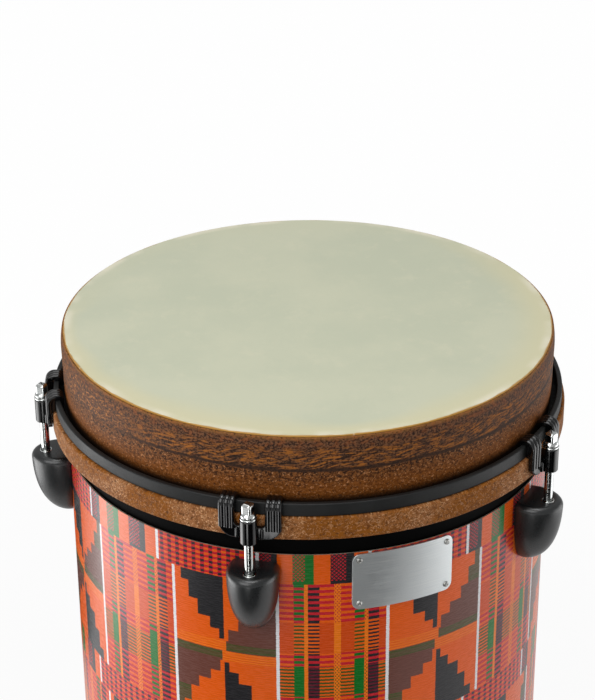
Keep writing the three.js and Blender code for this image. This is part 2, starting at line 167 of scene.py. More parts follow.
def mixed(share, first, second):
    """Two colours mixed by a share from 0 to 1."""
    made = node_beside("ShaderNodeMix", share)
    made.data_type = "RGBA"
    for place, value in ((0, share), (6, first), (7, second)):
        feed(made.inputs[place], value)
    return made.outputs[2]


def ranged(value, low, high, to_low=0.0, to_high=1.0):
    """A value mapped smoothly from one range to another and held at its ends."""
    made = node_beside("ShaderNodeMapRange", value)
    made.interpolation_type = "SMOOTHSTEP"
    for place, given in enumerate((value, low, high, to_low, to_high)):
        feed(made.inputs[place], given)
    return made.outputs[0]


def noise(vector, scale, detail=2.0, roughness=0.5, distortion=0.0):
    made = node_beside("ShaderNodeTexNoise", vector)
    feed(made.inputs["Vector"], vector)
    for setting, value in zip(("Scale", "Detail", "Roughness", "Distortion"),
                              (scale, detail, roughness, distortion)):
        feed(made.inputs[setting], value)
    return made.outputs[0]


def object_place(tree):
    return tree.nodes.new("ShaderNodeTexCoord").outputs["Object"]


def bumped(shader, height, strength, distance):
    made = node_beside("ShaderNodeBump", height)
    made.inputs["Strength"].default_value = strength
    made.inputs["Distance"].default_value = distance
    feed(made.inputs["Height"], height)
    feed(shader.inputs["Normal"], made.outputs[0])


def new_group(name, inputs, outputs):
    """An empty shader group, as the group, the outputs of its input node and its output node."""
    group = bpy.data.node_groups.new(name, "ShaderNodeTree")
    for label in inputs:
        group.interface.new_socket(label, in_out="INPUT", socket_type="NodeSocketFloat")
    for label, kind in outputs.items():
        group.interface.new_socket(label, in_out="OUTPUT", socket_type=kind)
    given = group.nodes.new("NodeGroupInput").outputs
    result = group.nodes.new("NodeGroupOutput")
    return group, given, result


def use_group(tree, group, *values):
    made = tree.nodes.new("ShaderNodeGroup")
    made.node_tree = group
    for socket, value in zip(made.inputs, values):
        feed(socket, value)
    return made.outputs


def make_speckle():
    """Fine grain that lifts and dulls a moulded, sprayed or plated surface, with slow clouds across it."""
    group, given, result = new_group("surface_speckle", ("Scale", "Low", "High"), {
        "Roughness": "NodeSocketFloat", "Height": "NodeSocketFloat", "Cloud": "NodeSocketFloat"})
    place = object_place(group)
    fine = noise(place, given["Scale"], 3.0, 0.6)
    cloud = noise(place, maths("DIVIDE", given["Scale"], 24.0), 3.0, 0.55)
    blended = maths("ADD", maths("MULTIPLY", fine, 0.6), maths("MULTIPLY", cloud, 0.4))
    feed(result.inputs["Roughness"], ranged(blended, 0.3, 0.7, given["Low"], given["High"]))
    feed(result.inputs["Height"], fine)
    feed(result.inputs["Cloud"], ranged(cloud, 0.3, 0.7))
    return group


speckle = make_speckle()


def speckled(name, dark, light, scale, roughness, strength, depth, **settings):
    """A finish with the shared grain: clouds from dark to light, a range of roughness and a bump."""
    finish, shader = new_finish(name, light, roughness[1], **settings)
    made = use_group(finish.node_tree, speckle, scale, *roughness)
    feed(shader.inputs["Roughness"], made["Roughness"])
    feed(shader.inputs["Base Color"], mixed(made["Cloud"], dark, light))
    bumped(shader, made["Height"], strength, depth)
    return finish


shell_paint = speckled("shell_paint", colour(4, 4, 4), colour(8, 8, 8), scale=900, roughness=(0.55, 0.7),
                       strength=0.25, depth=0.2 * mm, specular_ior_level=0.03)
shell_inner = shell_high.x - shell_wall
shell_neck = shell_high.x - neck_step
shell_tube = turned([
    (shell_inner, shell_low.z, end_round),
    (shell_high.x, shell_low.z, end_round),
    (shell_high.x, wrap_high.z, cut_round),
    (shell_neck, wrap_high.z, 0),
    (shell_neck, shell_high.z, bearing_round),
    (shell_inner + inner_bevel, shell_high.z, bevel_round),
    (shell_inner, shell_high.z - inner_bevel, 0),
])
add_piece("shell_tube", shell_tube, shell_paint, "shell_paint", "drum", "shell")

# Wrap: a thin laminate printed with a strip-woven cloth of stepped triangles and weft stripes, glued round
# the shell with its seam at the back. Its cut edge shows the pale paper core.

strip_width = 66.05
first_strip = -9.7
block_height = 104.2
band_height = 20.4
first_block = 99.1
band_shift = 11.5
edge_line = 1.0
warp_pitch = 0.9
weft_pitch = 0.7
thread_shake = 0.2
weft_rib = 1.4
seam_half = 0.4
orange = colour(224, 89, 1)
pale_orange = colour(232, 118, 14)
deep_orange = colour(204, 72, 8)
red = colour(190, 28, 42)
green = colour(16, 108, 34)
dark_green = colour(58, 80, 28)
black = colour(38, 37, 39)
maroon = colour(104, 22, 40)
brown = colour(104, 62, 52)
olive = colour(88, 74, 46)
white = colour(228, 228, 230)


def axes_of(place):
    made = node_beside("ShaderNodeSeparateXYZ", place)
    feed(made.inputs[0], place)
    return made.outputs


def make_round_place():
    """Distance round the drum from the badge and down from the playing surface, both in millimetres."""
    group, given, result = new_group("round_the_drum", ("Radius",), {
        "Around": "NodeSocketFloat", "Down": "NodeSocketFloat"})
    x, y, z = axes_of(object_place(group))
    angle = maths("ARCTAN2", x, maths("MULTIPLY", y, -1.0))
    feed(result.inputs["Around"], maths("MULTIPLY", angle, given["Radius"]))
    below = maths("SUBTRACT", playing_height, z)
    feed(result.inputs["Down"], maths("DIVIDE", below, mm))
    return group


round_place = make_round_place()


def flat_vector(across, down):
    made = node_beside("ShaderNodeCombineXYZ", across, down)
    feed(made.inputs["X"], across)
    feed(made.inputs["Y"], down)
    return made.outputs[0]


def both(first, second):
    return maths("MULTIPLY", first, second)


def between(value, low, high):
    return both(maths("GREATER_THAN", value, low), maths("LESS_THAN", value, high))


def any_of(masks):
    whole = masks[0]
    for mask in masks[1:]:
        whole = maths("MAXIMUM", whole, mask)
    return whole


def stripes(along, pitch, share, start=0.0):
    """Bars that fill a share of each pitch."""
    place = maths("FRACT", maths("DIVIDE", maths("SUBTRACT", along, start), pitch))
    return maths("LESS_THAN", place, share)


def shaded(tint, factor):
    """A colour made lighter or darker by a factor."""
    made = node_beside("ShaderNodeVectorMath", tint)
    made.operation = "SCALE"
    feed(made.inputs[0], tint)
    feed(made.inputs["Scale"], factor)
    return made.outputs[0]


def cloth_group(name):
    """A group that paints one kind of woven block from the place across and along it."""
    group, given, result = new_group(name, ("Across", "Along"), {"Color": "NodeSocketColor"})
    return group, given["Across"], given["Along"], result.inputs["Color"]


def with_edge_lines(across, ground):
    inside = between(across, edge_line, strip_width - edge_line)
    return mixed(inside, white, ground)


def make_stepped_block():
    """Orange ground with a black and a brown stepped triangle, and the same turned half round below."""
    group, across, along, result = cloth_group("stepped_block")
    lower = maths("GREATER_THAN", along, block_height / 2)

    def half_turned(place, size):
        turn = maths("SUBTRACT", size, maths("MULTIPLY", place, 2.0))
        return maths("MULTIPLY_ADD", turn, lower, place)

    x = half_turned(across, strip_width)
    y = half_turned(along, block_height)
    black_steps = ((5.3, 7.6), (10.4, 19.2), (16.3, 29.7), (24.2, 37.2), (30.0, 43.8))
    brown_steps = ((61.0, -1.0), (56.0, 9.6), (50.4, 21.2), (42.2, 29.4), (35.8, 36.6), (34.3, 45.0))
    black_edge = 33.1
    black_parts = [both(between(x, left, black_edge), maths("LESS_THAN", y, bottom))
                   for left, bottom in black_steps]
    brown_parts = [both(maths("GREATER_THAN", x, left), maths("GREATER_THAN", y, top))
                   for left, top in brown_steps]
    lines_start = 45.4
    line_pitch = 1.75
    line_zone = maths("GREATER_THAN", y, lines_start)
    ground = mixed(both(line_zone, stripes(y, line_pitch, 0.4)), orange, pale_orange)
    brown_zone = between(y, 20.4, 47.2)
    triangle = mixed(brown_zone, olive, brown)
    green_line = 0.6
    green_lines = any_of([between(y, low, low + green_line) for low in (17.4, 19.4, 46.7, 50.3)])
    triangle = mixed(green_lines, triangle, dark_green)
    painted = mixed(any_of(brown_parts), ground, triangle)
    painted = mixed(any_of(black_parts), painted, black)
    feed(result, with_edge_lines(across, painted))
    return group


def make_striped_block():
    """Narrow columns of weft bars, bold, then fine, then bold and rich with solid green."""
    group, across, along, result = cloth_group("striped_block")
    bold_pitch = 3.85
    fine_pitch = 2.6
    rich_pitch = 2.4
    rich_end = 80.0
    dash_width = 1.0
    dashed = ((33.4, 37.5), (51.7, 54.0))
    in_fine = between(along, 27.0, 48.8)
    in_rich = between(along, 58.5, rich_end)
    bold = stripes(along, bold_pitch, 0.52)
    late = stripes(along, bold_pitch, 0.5, 1.9)
    fine = stripes(along, fine_pitch, 0.46)
    rich = stripes(along, rich_pitch, 0.5)

    def column(bold_colour, fine_colour, rich_colour):
        return mixed(in_rich, mixed(in_fine, bold_colour, fine_colour), rich_colour)

    def spans(*edges):
        return any_of([between(across, low, high) for low, high in edges])

    rich_red = mixed(rich, orange, dark_green)
    painted = column(mixed(bold, orange, red), deep_orange, rich_red)
    second = column(mixed(late, orange, red), deep_orange, rich_red)
    painted = mixed(spans((37.5, 45.6), (60.6, 65.0)), painted, second)
    greens = column(mixed(bold, red, green), mixed(fine, orange, dark_green), green)
    painted = mixed(spans((9.6, 15.7)), painted, greens)
    early = between(along, 55.2, rich_end)
    painted = mixed(spans((45.6, 51.7)), painted, mixed(early, greens, green))
    blacks = column(mixed(late, red, black), mixed(fine, orange, black), mixed(rich, maroon, black))
    painted = mixed(spans((18.0, 24.8), (54.0, 60.6)), painted, blacks)
    painted = mixed(spans((15.7, 18.0), *dashed), painted, pale_orange)
    stagger = maths("MULTIPLY", maths("FLOOR", maths("DIVIDE", across, dash_width)), fine_pitch / 2)
    dashes = stripes(maths("ADD", along, stagger), fine_pitch, 0.4)
    dash_columns = both(spans(*dashed), stripes(across, dash_width, 0.6))
    dashes = both(dashes, both(dash_columns, maths("SUBTRACT", 1.0, in_fine)))
    painted = mixed(dashes, painted, mixed(in_rich, red, dark_green))
    feed(result, with_edge_lines(across, painted))
    return group


def make_checked_band():
    """A narrow band of red, orange and black basket weave."""
    group, across, along, result = cloth_group("checked_band")
    dot_column = stripes(across, 5.6, 0.45, 2.4)
    dot_row = stripes(along, 3.46, 0.5, 0.9)
    ground = mixed(any_of([dot_column, dot_row]), orange, red)
    painted = mixed(both(dot_column, dot_row), ground, black)
    feed(result, with_edge_lines(across, painted))
    return group


def make_twilled_band():
    """A narrow band of black and green corners filled with small red diamonds, on orange."""
    group, across, along, result = cloth_group("twilled_band")
    diamond_pitch = 2.5
    diamond_share = 0.6
    bare_edge = 2.2
    rising = stripes(maths("ADD", along, across), diamond_pitch, diamond_share)
    falling = stripes(maths("SUBTRACT", along, across), diamond_pitch, diamond_share)
    corner_top = block_height + band_height - bare_edge
    diamonds = both(both(rising, falling), maths("LESS_THAN", along, corner_top))
    painted = orange
    corners = ((1.0, 8.3, 11.6, black), (20.6, 27.8, 33.0, green), (42.7, 52.0, 56.6, black))
    for left, middle, right, ground in corners:
        filled = both(diamonds, between(across, left, middle))
        corner = mixed(filled, ground, red)
        painted = mixed(between(across, left, right), painted, corner)
    feed(result, with_edge_lines(across, painted))
    return group


def make_wrap_print():
    """The whole print: blocks and bands in strips that change places from row to row, with thread grain."""
    finish, shader = new_finish("wrap_print", orange, 0.27, specular_ior_level=0.36)
    tree = finish.node_tree
    around, down = use_group(tree, round_place, wrap_high.x / mm)
    warp = maths("FLOOR", maths("DIVIDE", around, warp_pitch))
    weft = maths("FLOOR", maths("DIVIDE", down, weft_pitch))

    def shaken(place, thread):
        made = node_beside("ShaderNodeTexWhiteNoise", thread)
        made.noise_dimensions = "1D"
        feed(made.inputs["W"], thread)
        return maths("MULTIPLY_ADD", maths("SUBTRACT", made.outputs[0], 0.5), thread_shake, place)

    x = maths("SUBTRACT", shaken(around, weft), first_strip)
    y = maths("SUBTRACT", shaken(down, warp), first_block)
    row_height = block_height + band_height
    row = maths("FLOOR", maths("DIVIDE", y, row_height))
    along = maths("FLOORED_MODULO", y, row_height)

    def strips(place):
        number = maths("FLOOR", maths("DIVIDE", place, strip_width))
        odd = maths("FLOORED_MODULO", maths("ADD", number, row), 2.0)
        return maths("FLOORED_MODULO", place, strip_width), odd

    across, odd = strips(x)
    band_across, band_odd = strips(maths("ADD", x, band_shift))
    blocks = mixed(odd, use_group(tree, make_stepped_block(), across, along)[0],
                   use_group(tree, make_striped_block(), across, along)[0])
    bands = mixed(band_odd, use_group(tree, make_twilled_band(), band_across, along)[0],
                  use_group(tree, make_checked_band(), band_across, along)[0])
    painted = mixed(maths("GREATER_THAN", along, block_height), blocks, bands)
    rib = maths("SINE", maths("MULTIPLY", down, 2 * math.pi / weft_rib))
    lying = flat_vector(maths("DIVIDE", around, 6.0), maths("DIVIDE", down, weft_pitch))
    thread = noise(lying, 1.0, 3.0, 0.6)
    grain = maths("MULTIPLY_ADD", rib, 0.06, maths("MULTIPLY_ADD", thread, 0.3, 0.83))
    half_round = math.pi * wrap_high.x / mm
    seam = maths("GREATER_THAN", maths("ABSOLUTE", around), half_round - seam_half)
    painted = mixed(seam, shaded(painted, grain), colour(46, 36, 32))
    feed(shader.inputs["Base Color"], painted)
    feed(shader.inputs["Roughness"], ranged(thread, 0.3, 0.7, 0.22, 0.32))
    lifted = maths("SUBTRACT", maths("MULTIPLY_ADD", rib, 0.25, thread), seam)
    bumped(shader, lifted, 0.12, 0.08 * mm)
    return finish


wrap_core = speckled("wrap_core", colour(134, 125, 112), colour(162, 152, 138), scale=1500,
                     roughness=(0.7, 0.9), strength=0.3, depth=0.1 * mm, specular_ior_level=0.2)
wrap_inner = shell_high.x + 0.05 * mm
wrap_edge = 0.12 * mm


def ring(inner, outer, low, high, roundings, steps=ring_steps, segments=4):
    """A ring turned between two radii and two heights. Its four roundings start at the lower inner edge."""
    places = ((inner, low), (outer, low), (outer, high), (inner, high))
    corners = [(*place, rounding) for place, rounding in zip(places, roundings)]
    return turned(corners, steps, segments)


wrap_ring = ring(wrap_inner, wrap_high.x, wrap_low.z, wrap_high.z, (0, wrap_edge, wrap_edge, 0), segments=2)
wrap_sheet = add_piece("wrap_sheet", wrap_ring, make_wrap_print(), "wrap_cloth", "drum", "shell_wrap")
wrap_sheet.data.materials.append(wrap_core)
for face in wrap_sheet.data.polygons:
    face.material_index = int(abs(face.normal.z) > 0.8)

# Base board, sound tube and feet: a painted round board glued inside the shell's lower end, a wound paper
# tube standing in its hole, and four moulded rubber feet screwed up into the board.

board_low, board_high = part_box("base_board")
port_low, port_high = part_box("port_tube")
port_wall = 4 * mm
board_edge = 0.8 * mm
port_edge = 0.6 * mm
board_paint = speckled("board_paint", colour(24, 23, 22), colour(40, 38, 36), scale=420,
                       roughness=(0.7, 0.9), strength=0.5, depth=0.4 * mm)
base_disc = ring(port_high.x, shell_inner, board_low.z, board_high.z, [board_edge] * 4)
add_piece("base_disc", base_disc, board_paint, "board_paint", "drum", "base_board")


def make_wound_paper():
    """Grey-brown paper tube with the slanting seams of its wound strips."""
    strip = 66.2
    seam_share = 0.014
    slope = 0.34
    finish, shader = new_finish("wound_paper", colour(112, 104, 94), 0.85)
    tree = finish.node_tree
    around, down = use_group(tree, round_place, port_high.x / mm)
    seam = stripes(maths("MULTIPLY_ADD", around, slope, down), strip, seam_share)
    lying = flat_vector(maths("DIVIDE", around, 7.0), maths("DIVIDE", down, 1.5))
    fibre = noise(lying, 1.0, 5.0, 0.65)
    paper = mixed(ranged(fibre, 0.3, 0.7), colour(92, 84, 74), colour(128, 119, 107))
    feed(shader.inputs["Base Color"], mixed(seam, paper, colour(58, 52, 46)))
    feed(shader.inputs["Roughness"], ranged(fibre, 0.3, 0.7, 0.78, 0.92))
    bumped(shader, maths("SUBTRACT", fibre, seam), 0.4, 0.3 * mm)
    return finish


sound_tube = ring(port_high.x - port_wall, port_high.x, port_low.z, port_high.z, [port_edge] * 4, steps=128)
add_piece("sound_tube", sound_tube, make_wound_paper(), "port_board", "drum", "port_tube")

foot_rubber = speckled("foot_rubber", colour(18, 18, 18), colour(29, 29, 28), scale=1400,
                       roughness=(0.62, 0.85), strength=0.45, depth=0.15 * mm)
screw_steel = speckled("screw_steel", colour(150, 150, 147), colour(178, 178, 174), scale=1600,
                       roughness=(0.24, 0.42), strength=0.1, depth=0.05 * mm, metallic=1.0)
foot_height = 26 * mm
foot_lower_radius = 16 * mm
foot_upper_radius = 19 * mm
foot_lower_round = 2 * mm
foot_upper_round = 1.2 * mm
pocket_radius = 6.5 * mm
pocket_depth = 12 * mm
pocket_edge = 0.6 * mm
pocket_round = 0.5 * mm
screw_radius = 2.4 * mm
screw_head_radius = 5 * mm
screw_head_height = 3 * mm
screw_seat = pocket_depth - 0.3 * mm
foot_shaft = screw_radius + 0.3 * mm


def pan_screw(head_radius, head_height, length):
    """A pan-headed screw along Z with a driver socket; its head's underside is at the origin, head down."""
    socket_radius = 0.42 * head_radius
    socket_depth = 0.6 * head_height
    socket_edge = 0.15 * mm
    head_edge = 0.2 * mm
    tip_round = 0.6 * mm
    return turned([
        (0, socket_depth - head_height, 0),
        (socket_radius, socket_depth - head_height, 0),
        (socket_radius, -head_height, socket_edge),
        (head_radius, -head_height, 0.7 * head_height),
        (head_radius, 0, head_edge),
        (screw_radius, 0, 0),
        (screw_radius, length, tip_round),
        (0, length, 0),
    ], steps=40)


for number in range(1, 5):
    foot_low, foot_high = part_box(f"foot_{number}")
    place = Matrix.Translation(((foot_low.x + foot_high.x) / 2, (foot_low.y + foot_high.y) / 2, 0))
    foot = turned([
        (pocket_radius, foot_low.z, pocket_edge),
        (foot_lower_radius, foot_low.z, foot_lower_round),
        (foot_upper_radius, foot_height, foot_upper_round),
        (foot_shaft, foot_height, 0),
        (foot_shaft, pocket_depth, 0),
        (pocket_radius, pocket_depth, pocket_round),
    ], steps=72)
    add_piece(f"rubber_foot_{number}", foot, foot_rubber, "foot_rubber", "drum", f"foot_{number}",
              place=place)
    screw_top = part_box(f"foot_screw_{number}")[1].z
    screw = pan_screw(screw_head_radius, screw_head_height, screw_top - screw_seat)
    seat = place @ Matrix.Translation((0, 0, screw_seat))
    add_piece(f"foot_bolt_{number}", screw, screw_steel, "screw_steel", "drum", f"foot_screw_{number}",
              place=seat)

# Lugs: bullet-shaped housings of satin black nylon, moulded to the shell's curve, each with a plated threaded
# bush in its top and two screws put in from inside the shell.

lug_tops = [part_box(f"lug_{number}")[1].z for number in range(1, 6)]
rod_joints = [joint for joint in frame["joints"] if joint["name"].startswith("rod_turn")]
rod_places = [Vector(joint["pos_m"]) for joint in rod_joints]
rod_axis = rod_places[0].xy.length
rod_angles = [math.atan2(place.y, place.x) for place in rod_places]
lug_height = 43.3 * mm
lug_width = 31 * mm
lug_reach = 24.2 * mm
lug_round = 4 * mm
lug_centre_share = 0.25
lug_reach_fullness = 2.35
lug_width_fullness = 2.4
lug_tip_share = 0.9995
lug_sides = 96
lug_round_steps = 6
lug_body_steps = 22
lug_back = wrap_high.x + 0.1 * mm
bush_radius = 3.9 * mm
bush_bore = 3.1 * mm
bush_length = 17 * mm
lug_bore = bush_radius + 0.05 * mm
lug_bore_depth = 26 * mm


def fullness(share, exponent):
    return (1 - share ** exponent) ** (1 / exponent)


def grow_face(bm, face, move, keep=False):
    """Extrude a face and carry its new end by a matrix."""
    grown = bmesh.ops.extrude_face_region(bm, geom=[face])["geom"]
    if not keep:
        bmesh.ops.delete(bm, geom=[face], context="FACES_ONLY")
    end = next(part for part in grown if isinstance(part, bmesh.types.BMFace))
    bmesh.ops.transform(bm, matrix=move, verts=end.verts)
    return end


def lug_section(drop, inset):
    """Where the unit circle goes for the lug's section at a drop below its top."""
    share = min(drop / lug_height, lug_tip_share)
    reach = lug_reach * fullness(share, lug_reach_fullness)
    half = lug_width / 2 * fullness(share, lug_width_fullness) - inset
    centre = wrap_high.x + lug_centre_share * reach
    length = (1 - lug_centre_share) * reach - inset
    return Matrix.Translation((centre, 0, lug_tops[0] - drop)) @ Matrix.Diagonal((length, half, 1, 1))


def lug_housing():
    """The bullet, grown section by section from its top, then bored for the bush and the rod's end."""
    bm = bmesh.new()
    bmesh.ops.create_circle(bm, cap_ends=True, segments=lug_sides, radius=1)
    quarter = math.pi / 2
    turns = [quarter * step / lug_round_steps for step in range(lug_round_steps + 1)]
    levels = [(lug_round * (1 - math.cos(turn)), lug_round * (1 - math.sin(turn))) for turn in turns]
    turns = [quarter * step / lug_body_steps for step in range(1, lug_body_steps + 1)]
    levels += [(lug_round + (lug_height - lug_round) * math.sin(turn), 0) for turn in turns]
    sections = [lug_section(drop, inset) for drop, inset in levels]
    top = face = bm.faces[:][0]
    bmesh.ops.transform(bm, matrix=sections[0], verts=bm.verts)
    for index, (old, new) in enumerate(zip(sections, sections[1:])):
        face = grow_face(bm, face, new @ old.inverted(), keep=index == 0)
    mouth = Matrix.Translation((rod_axis, 0, lug_tops[0])) @ Matrix.Diagonal((lug_bore, lug_bore, 1, 1))
    hole = grow_face(bm, top, mouth @ sections[0].inverted())
    grow_face(bm, hole, Matrix.Translation((0, 0, -lug_bore_depth)))
    for vert in bm.verts:
        if vert.co.xy.length < lug_back:
            vert.co.x = math.sqrt(lug_back ** 2 - vert.co.y ** 2)
    bmesh.ops.recalc_face_normals(bm, faces=bm.faces)
    return bm


lug_nylon = speckled("lug_nylon", colour(21, 23, 24), colour(27, 29, 30), scale=1100,
                     roughness=(0.26, 0.36), strength=0.12, depth=0.06 * mm, specular_ior_level=0.6)


def make_plating():
    """Bright plate over fine turning lines, which spread what it mirrors up and down."""
    finish, shader = new_finish("plating", colour(200, 203, 202), 0.1, metallic=1.0)
    tree = finish.node_tree
    mapping = tree.nodes.new("ShaderNodeMapping")
    mapping.inputs["Scale"].default_value = (0.05, 0.05, 1)
    feed(mapping.inputs["Vector"], object_place(tree))
    lines = noise(mapping.outputs[0], 2200, 2.0)
    tone = ranged(lines, 0.3, 0.7)
    feed(shader.inputs["Base Color"], mixed(tone, colour(188, 192, 191), colour(212, 214, 212)))
    haze = noise(object_place(tree), 500)
    feed(shader.inputs["Roughness"], ranged(haze, 0.3, 0.7, 0.08, 0.16))
    bumped(shader, lines, 0.2, 0.1 * mm)
    return finish


plating = make_plating()
lying_out = Matrix.Rotation(math.pi / 2, 4, "Y")
lug_screw_drops = {"upper": 9 * mm, "lower": 31 * mm}
lug_screw_head = 4.5 * mm
lug_screw_height = 2.6 * mm
lug_screw_grip = 6.5 * mm
bush_sink = 0.25 * mm
bush_edges = (0, 0.3 * mm, 0.3 * mm, 0.2 * mm)
lug_screw_seat = shell_inner - 0.1 * mm
lug_screw_length = lug_back + lug_screw_grip - shell_inner
for number, angle in enumerate(rod_angles, 1):
    turn = Matrix.Rotation(angle, 4, "Z")
    lug_top = lug_tops[number - 1]
    add_piece(f"lug_housing_{number}", lug_housing(), lug_nylon, "lug_plastic", "drum", f"lug_{number}",
              place=turn, crease=50)
    bush_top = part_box(f"lug_insert_{number}")[1].z - bush_sink
    bush = ring(bush_bore, bush_radius, lug_top - bush_length, bush_top, bush_edges, steps=48)
    add_piece(f"lug_bush_{number}", bush, plating, "plating", "drum", f"lug_insert_{number}",
              place=turn @ Matrix.Translation((rod_axis, 0, 0)))
    for which, drop in lug_screw_drops.items():
        screw = pan_screw(lug_screw_head, lug_screw_height, lug_screw_length)
        seat = turn @ Matrix.Translation((lug_screw_seat, 0, lug_top - drop))
        add_piece(f"lug_bolt_{which}_{number}", screw, screw_steel, "screw_steel", "drum",
                  f"lug_screw_{which}_{number}", place=seat @ lying_out)

# Badge: a bare satin aluminium plate, blanked with round corners, rolled to the shell's curve and held by
# four dome-headed rivets.

plate_low, plate_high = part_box("badge_plate")
plate_radius = -plate_low.y
plate_back = wrap_high.x + 0.05 * mm
plate_width = 64 * mm
plate_corner = 5 * mm
plate_edge = 0.25 * mm
plate_cuts = 40


def roll(bm, radius, width, cuts):
    """Bend a plate that stands on Y = 0 to a drum's curve of that radius round Z, its front towards -Y."""
    for cut in range(1, cuts):
        across = width * (cut / cuts - 0.5)
        bmesh.ops.bisect_plane(bm, geom=bm.verts[:] + bm.edges[:] + bm.faces[:], plane_co=(across, 0, 0),
                               plane_no=(1, 0, 0))
    for vert in bm.verts:
        angle = vert.co.x / radius
        reach = radius - vert.co.y
        vert.co = (reach * math.sin(angle), -reach * math.cos(angle), vert.co.z)
    bmesh.ops.recalc_face_normals(bm, faces=bm.faces)


def eased_plate(corners, segments, thickness, edge):
    """A plate that stands on Y = 0, with (across, height, rounding) corners and eased front edges."""
    bm = bmesh.new()
    verts = [bm.verts.new((across, 0, height)) for across, height, rounding in corners]
    bm.faces.new(verts)
    for vert, (across, height, rounding) in zip(verts, corners):
        if rounding:
            round_off(bm, [vert], rounding, segments, "VERTICES")
    end = grow_face(bm, bm.faces[:][0], Matrix.Translation((0, -thickness, 0)), keep=True)
    round_off(bm, end.edges[:], edge, 3)
    return bm


def badge_plate():
    half = plate_width / 2
    corners = [(across, height, plate_corner) for across, height in (
        (-half, plate_low.z), (half, plate_low.z), (half, plate_high.z), (-half, plate_high.z))]
    bm = eased_plate(corners, 10, plate_radius - plate_back, plate_edge)
    roll(bm, plate_back, plate_width, plate_cuts)
    return bm


def make_satin_aluminium():
    """Aluminium with fine brush lines along the plate."""
    finish, shader = new_finish("satin_aluminium", colour(214, 218, 218), 0.36, metallic=1.0)
    tree = finish.node_tree
    around, down = use_group(tree, round_place, plate_radius / mm)
    lying = flat_vector(maths("DIVIDE", around, 30.0), maths("DIVIDE", down, 0.25))
    brush = noise(lying, 1.0, 4.0, 0.7)
    tone = ranged(brush, 0.3, 0.7)
    feed(shader.inputs["Base Color"], mixed(tone, colour(204, 209, 211), colour(222, 225, 224)))
    feed(shader.inputs["Roughness"], ranged(brush, 0.3, 0.7, 0.3, 0.4))
    bumped(shader, brush, 0.35, 0.08 * mm)
    return finish


add_piece("badge_sheet", badge_plate(), make_satin_aluminium(), "badge_metal", "drum", "badge_plate")
rivet_radius = 1.9 * mm
rivet_height = 1.1 * mm
rivet_stem = 1.2 * mm
rivet_length = 5 * mm
rivet_round = 0.5 * mm
dimple_radius = 0.6 * mm
dimple_depth = 0.25 * mm
dimple_round = 0.1 * mm
dimple_rim = dimple_radius + 0.15 * mm
crown_radius = dimple_radius + 0.45 * mm
for number in range(1, 5):
    rivet_low, rivet_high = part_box(f"badge_rivet_{number}")
    angle = math.atan2(rivet_low.y + rivet_high.y, rivet_low.x + rivet_high.x)
    height = (rivet_low.z + rivet_high.z) / 2
    rivet = turned([
        (0, rivet_height - dimple_depth, 0),
        (dimple_radius, rivet_height - dimple_depth, 0),
        (dimple_rim, rivet_height, dimple_round),
        (crown_radius, rivet_height, 0),
        (rivet_radius, 0.5 * rivet_height, rivet_round),
        (rivet_radius, 0, 0),
        (rivet_stem, 0, 0),
        (rivet_stem, -rivet_length, 0),
        (0, -rivet_length, 0),
    ], steps=32)
    seat = Matrix.Rotation(angle, 4, "Z") @ Matrix.Translation((plate_radius, 0, height))
    add_piece(f"dome_rivet_{number}", rivet, screw_steel, "screw_steel", "drum", f"badge_rivet_{number}",
              place=seat @ lying_out)

# Head: a cream film bonded to a brown fibre collar, with a tan fibre flesh hoop moulded round the collar's
# foot. The film's edge is thin and amber where it turns over the bearing edge.

collar_low, collar_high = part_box("head_collar")
flesh_low, flesh_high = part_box("flesh_hoop")
film_thickness = 0.4 * mm
film_round = 1 * mm
collar_wall = 1.5 * mm
collar_stand = 1 * mm
collar_taper = 5.5 * mm
collar_foot = shell_neck + collar_stand + collar_wall
taper_round = 3 * mm
rim_outer = film_high.x + 0.9 * mm
rim_inner = film_high.x + 0.05 * mm
rim_round = 0.3 * mm
flesh_round = 1.6 * mm
# How far the painted shade on the flesh hoop's top reaches out from the collar, and how far it fades.
gap_shade_reach = 3.7 * mm
gap_shade_fade = 1.5 * mm


def from_axis(place):
    """Distance from the drum's axis."""
    x, y, z = axes_of(place)
    made = node_beside("ShaderNodeVectorMath", place)
    made.operation = "LENGTH"
    feed(made.inputs[0], flat_vector(x, y))
    return made.outputs["Value"]


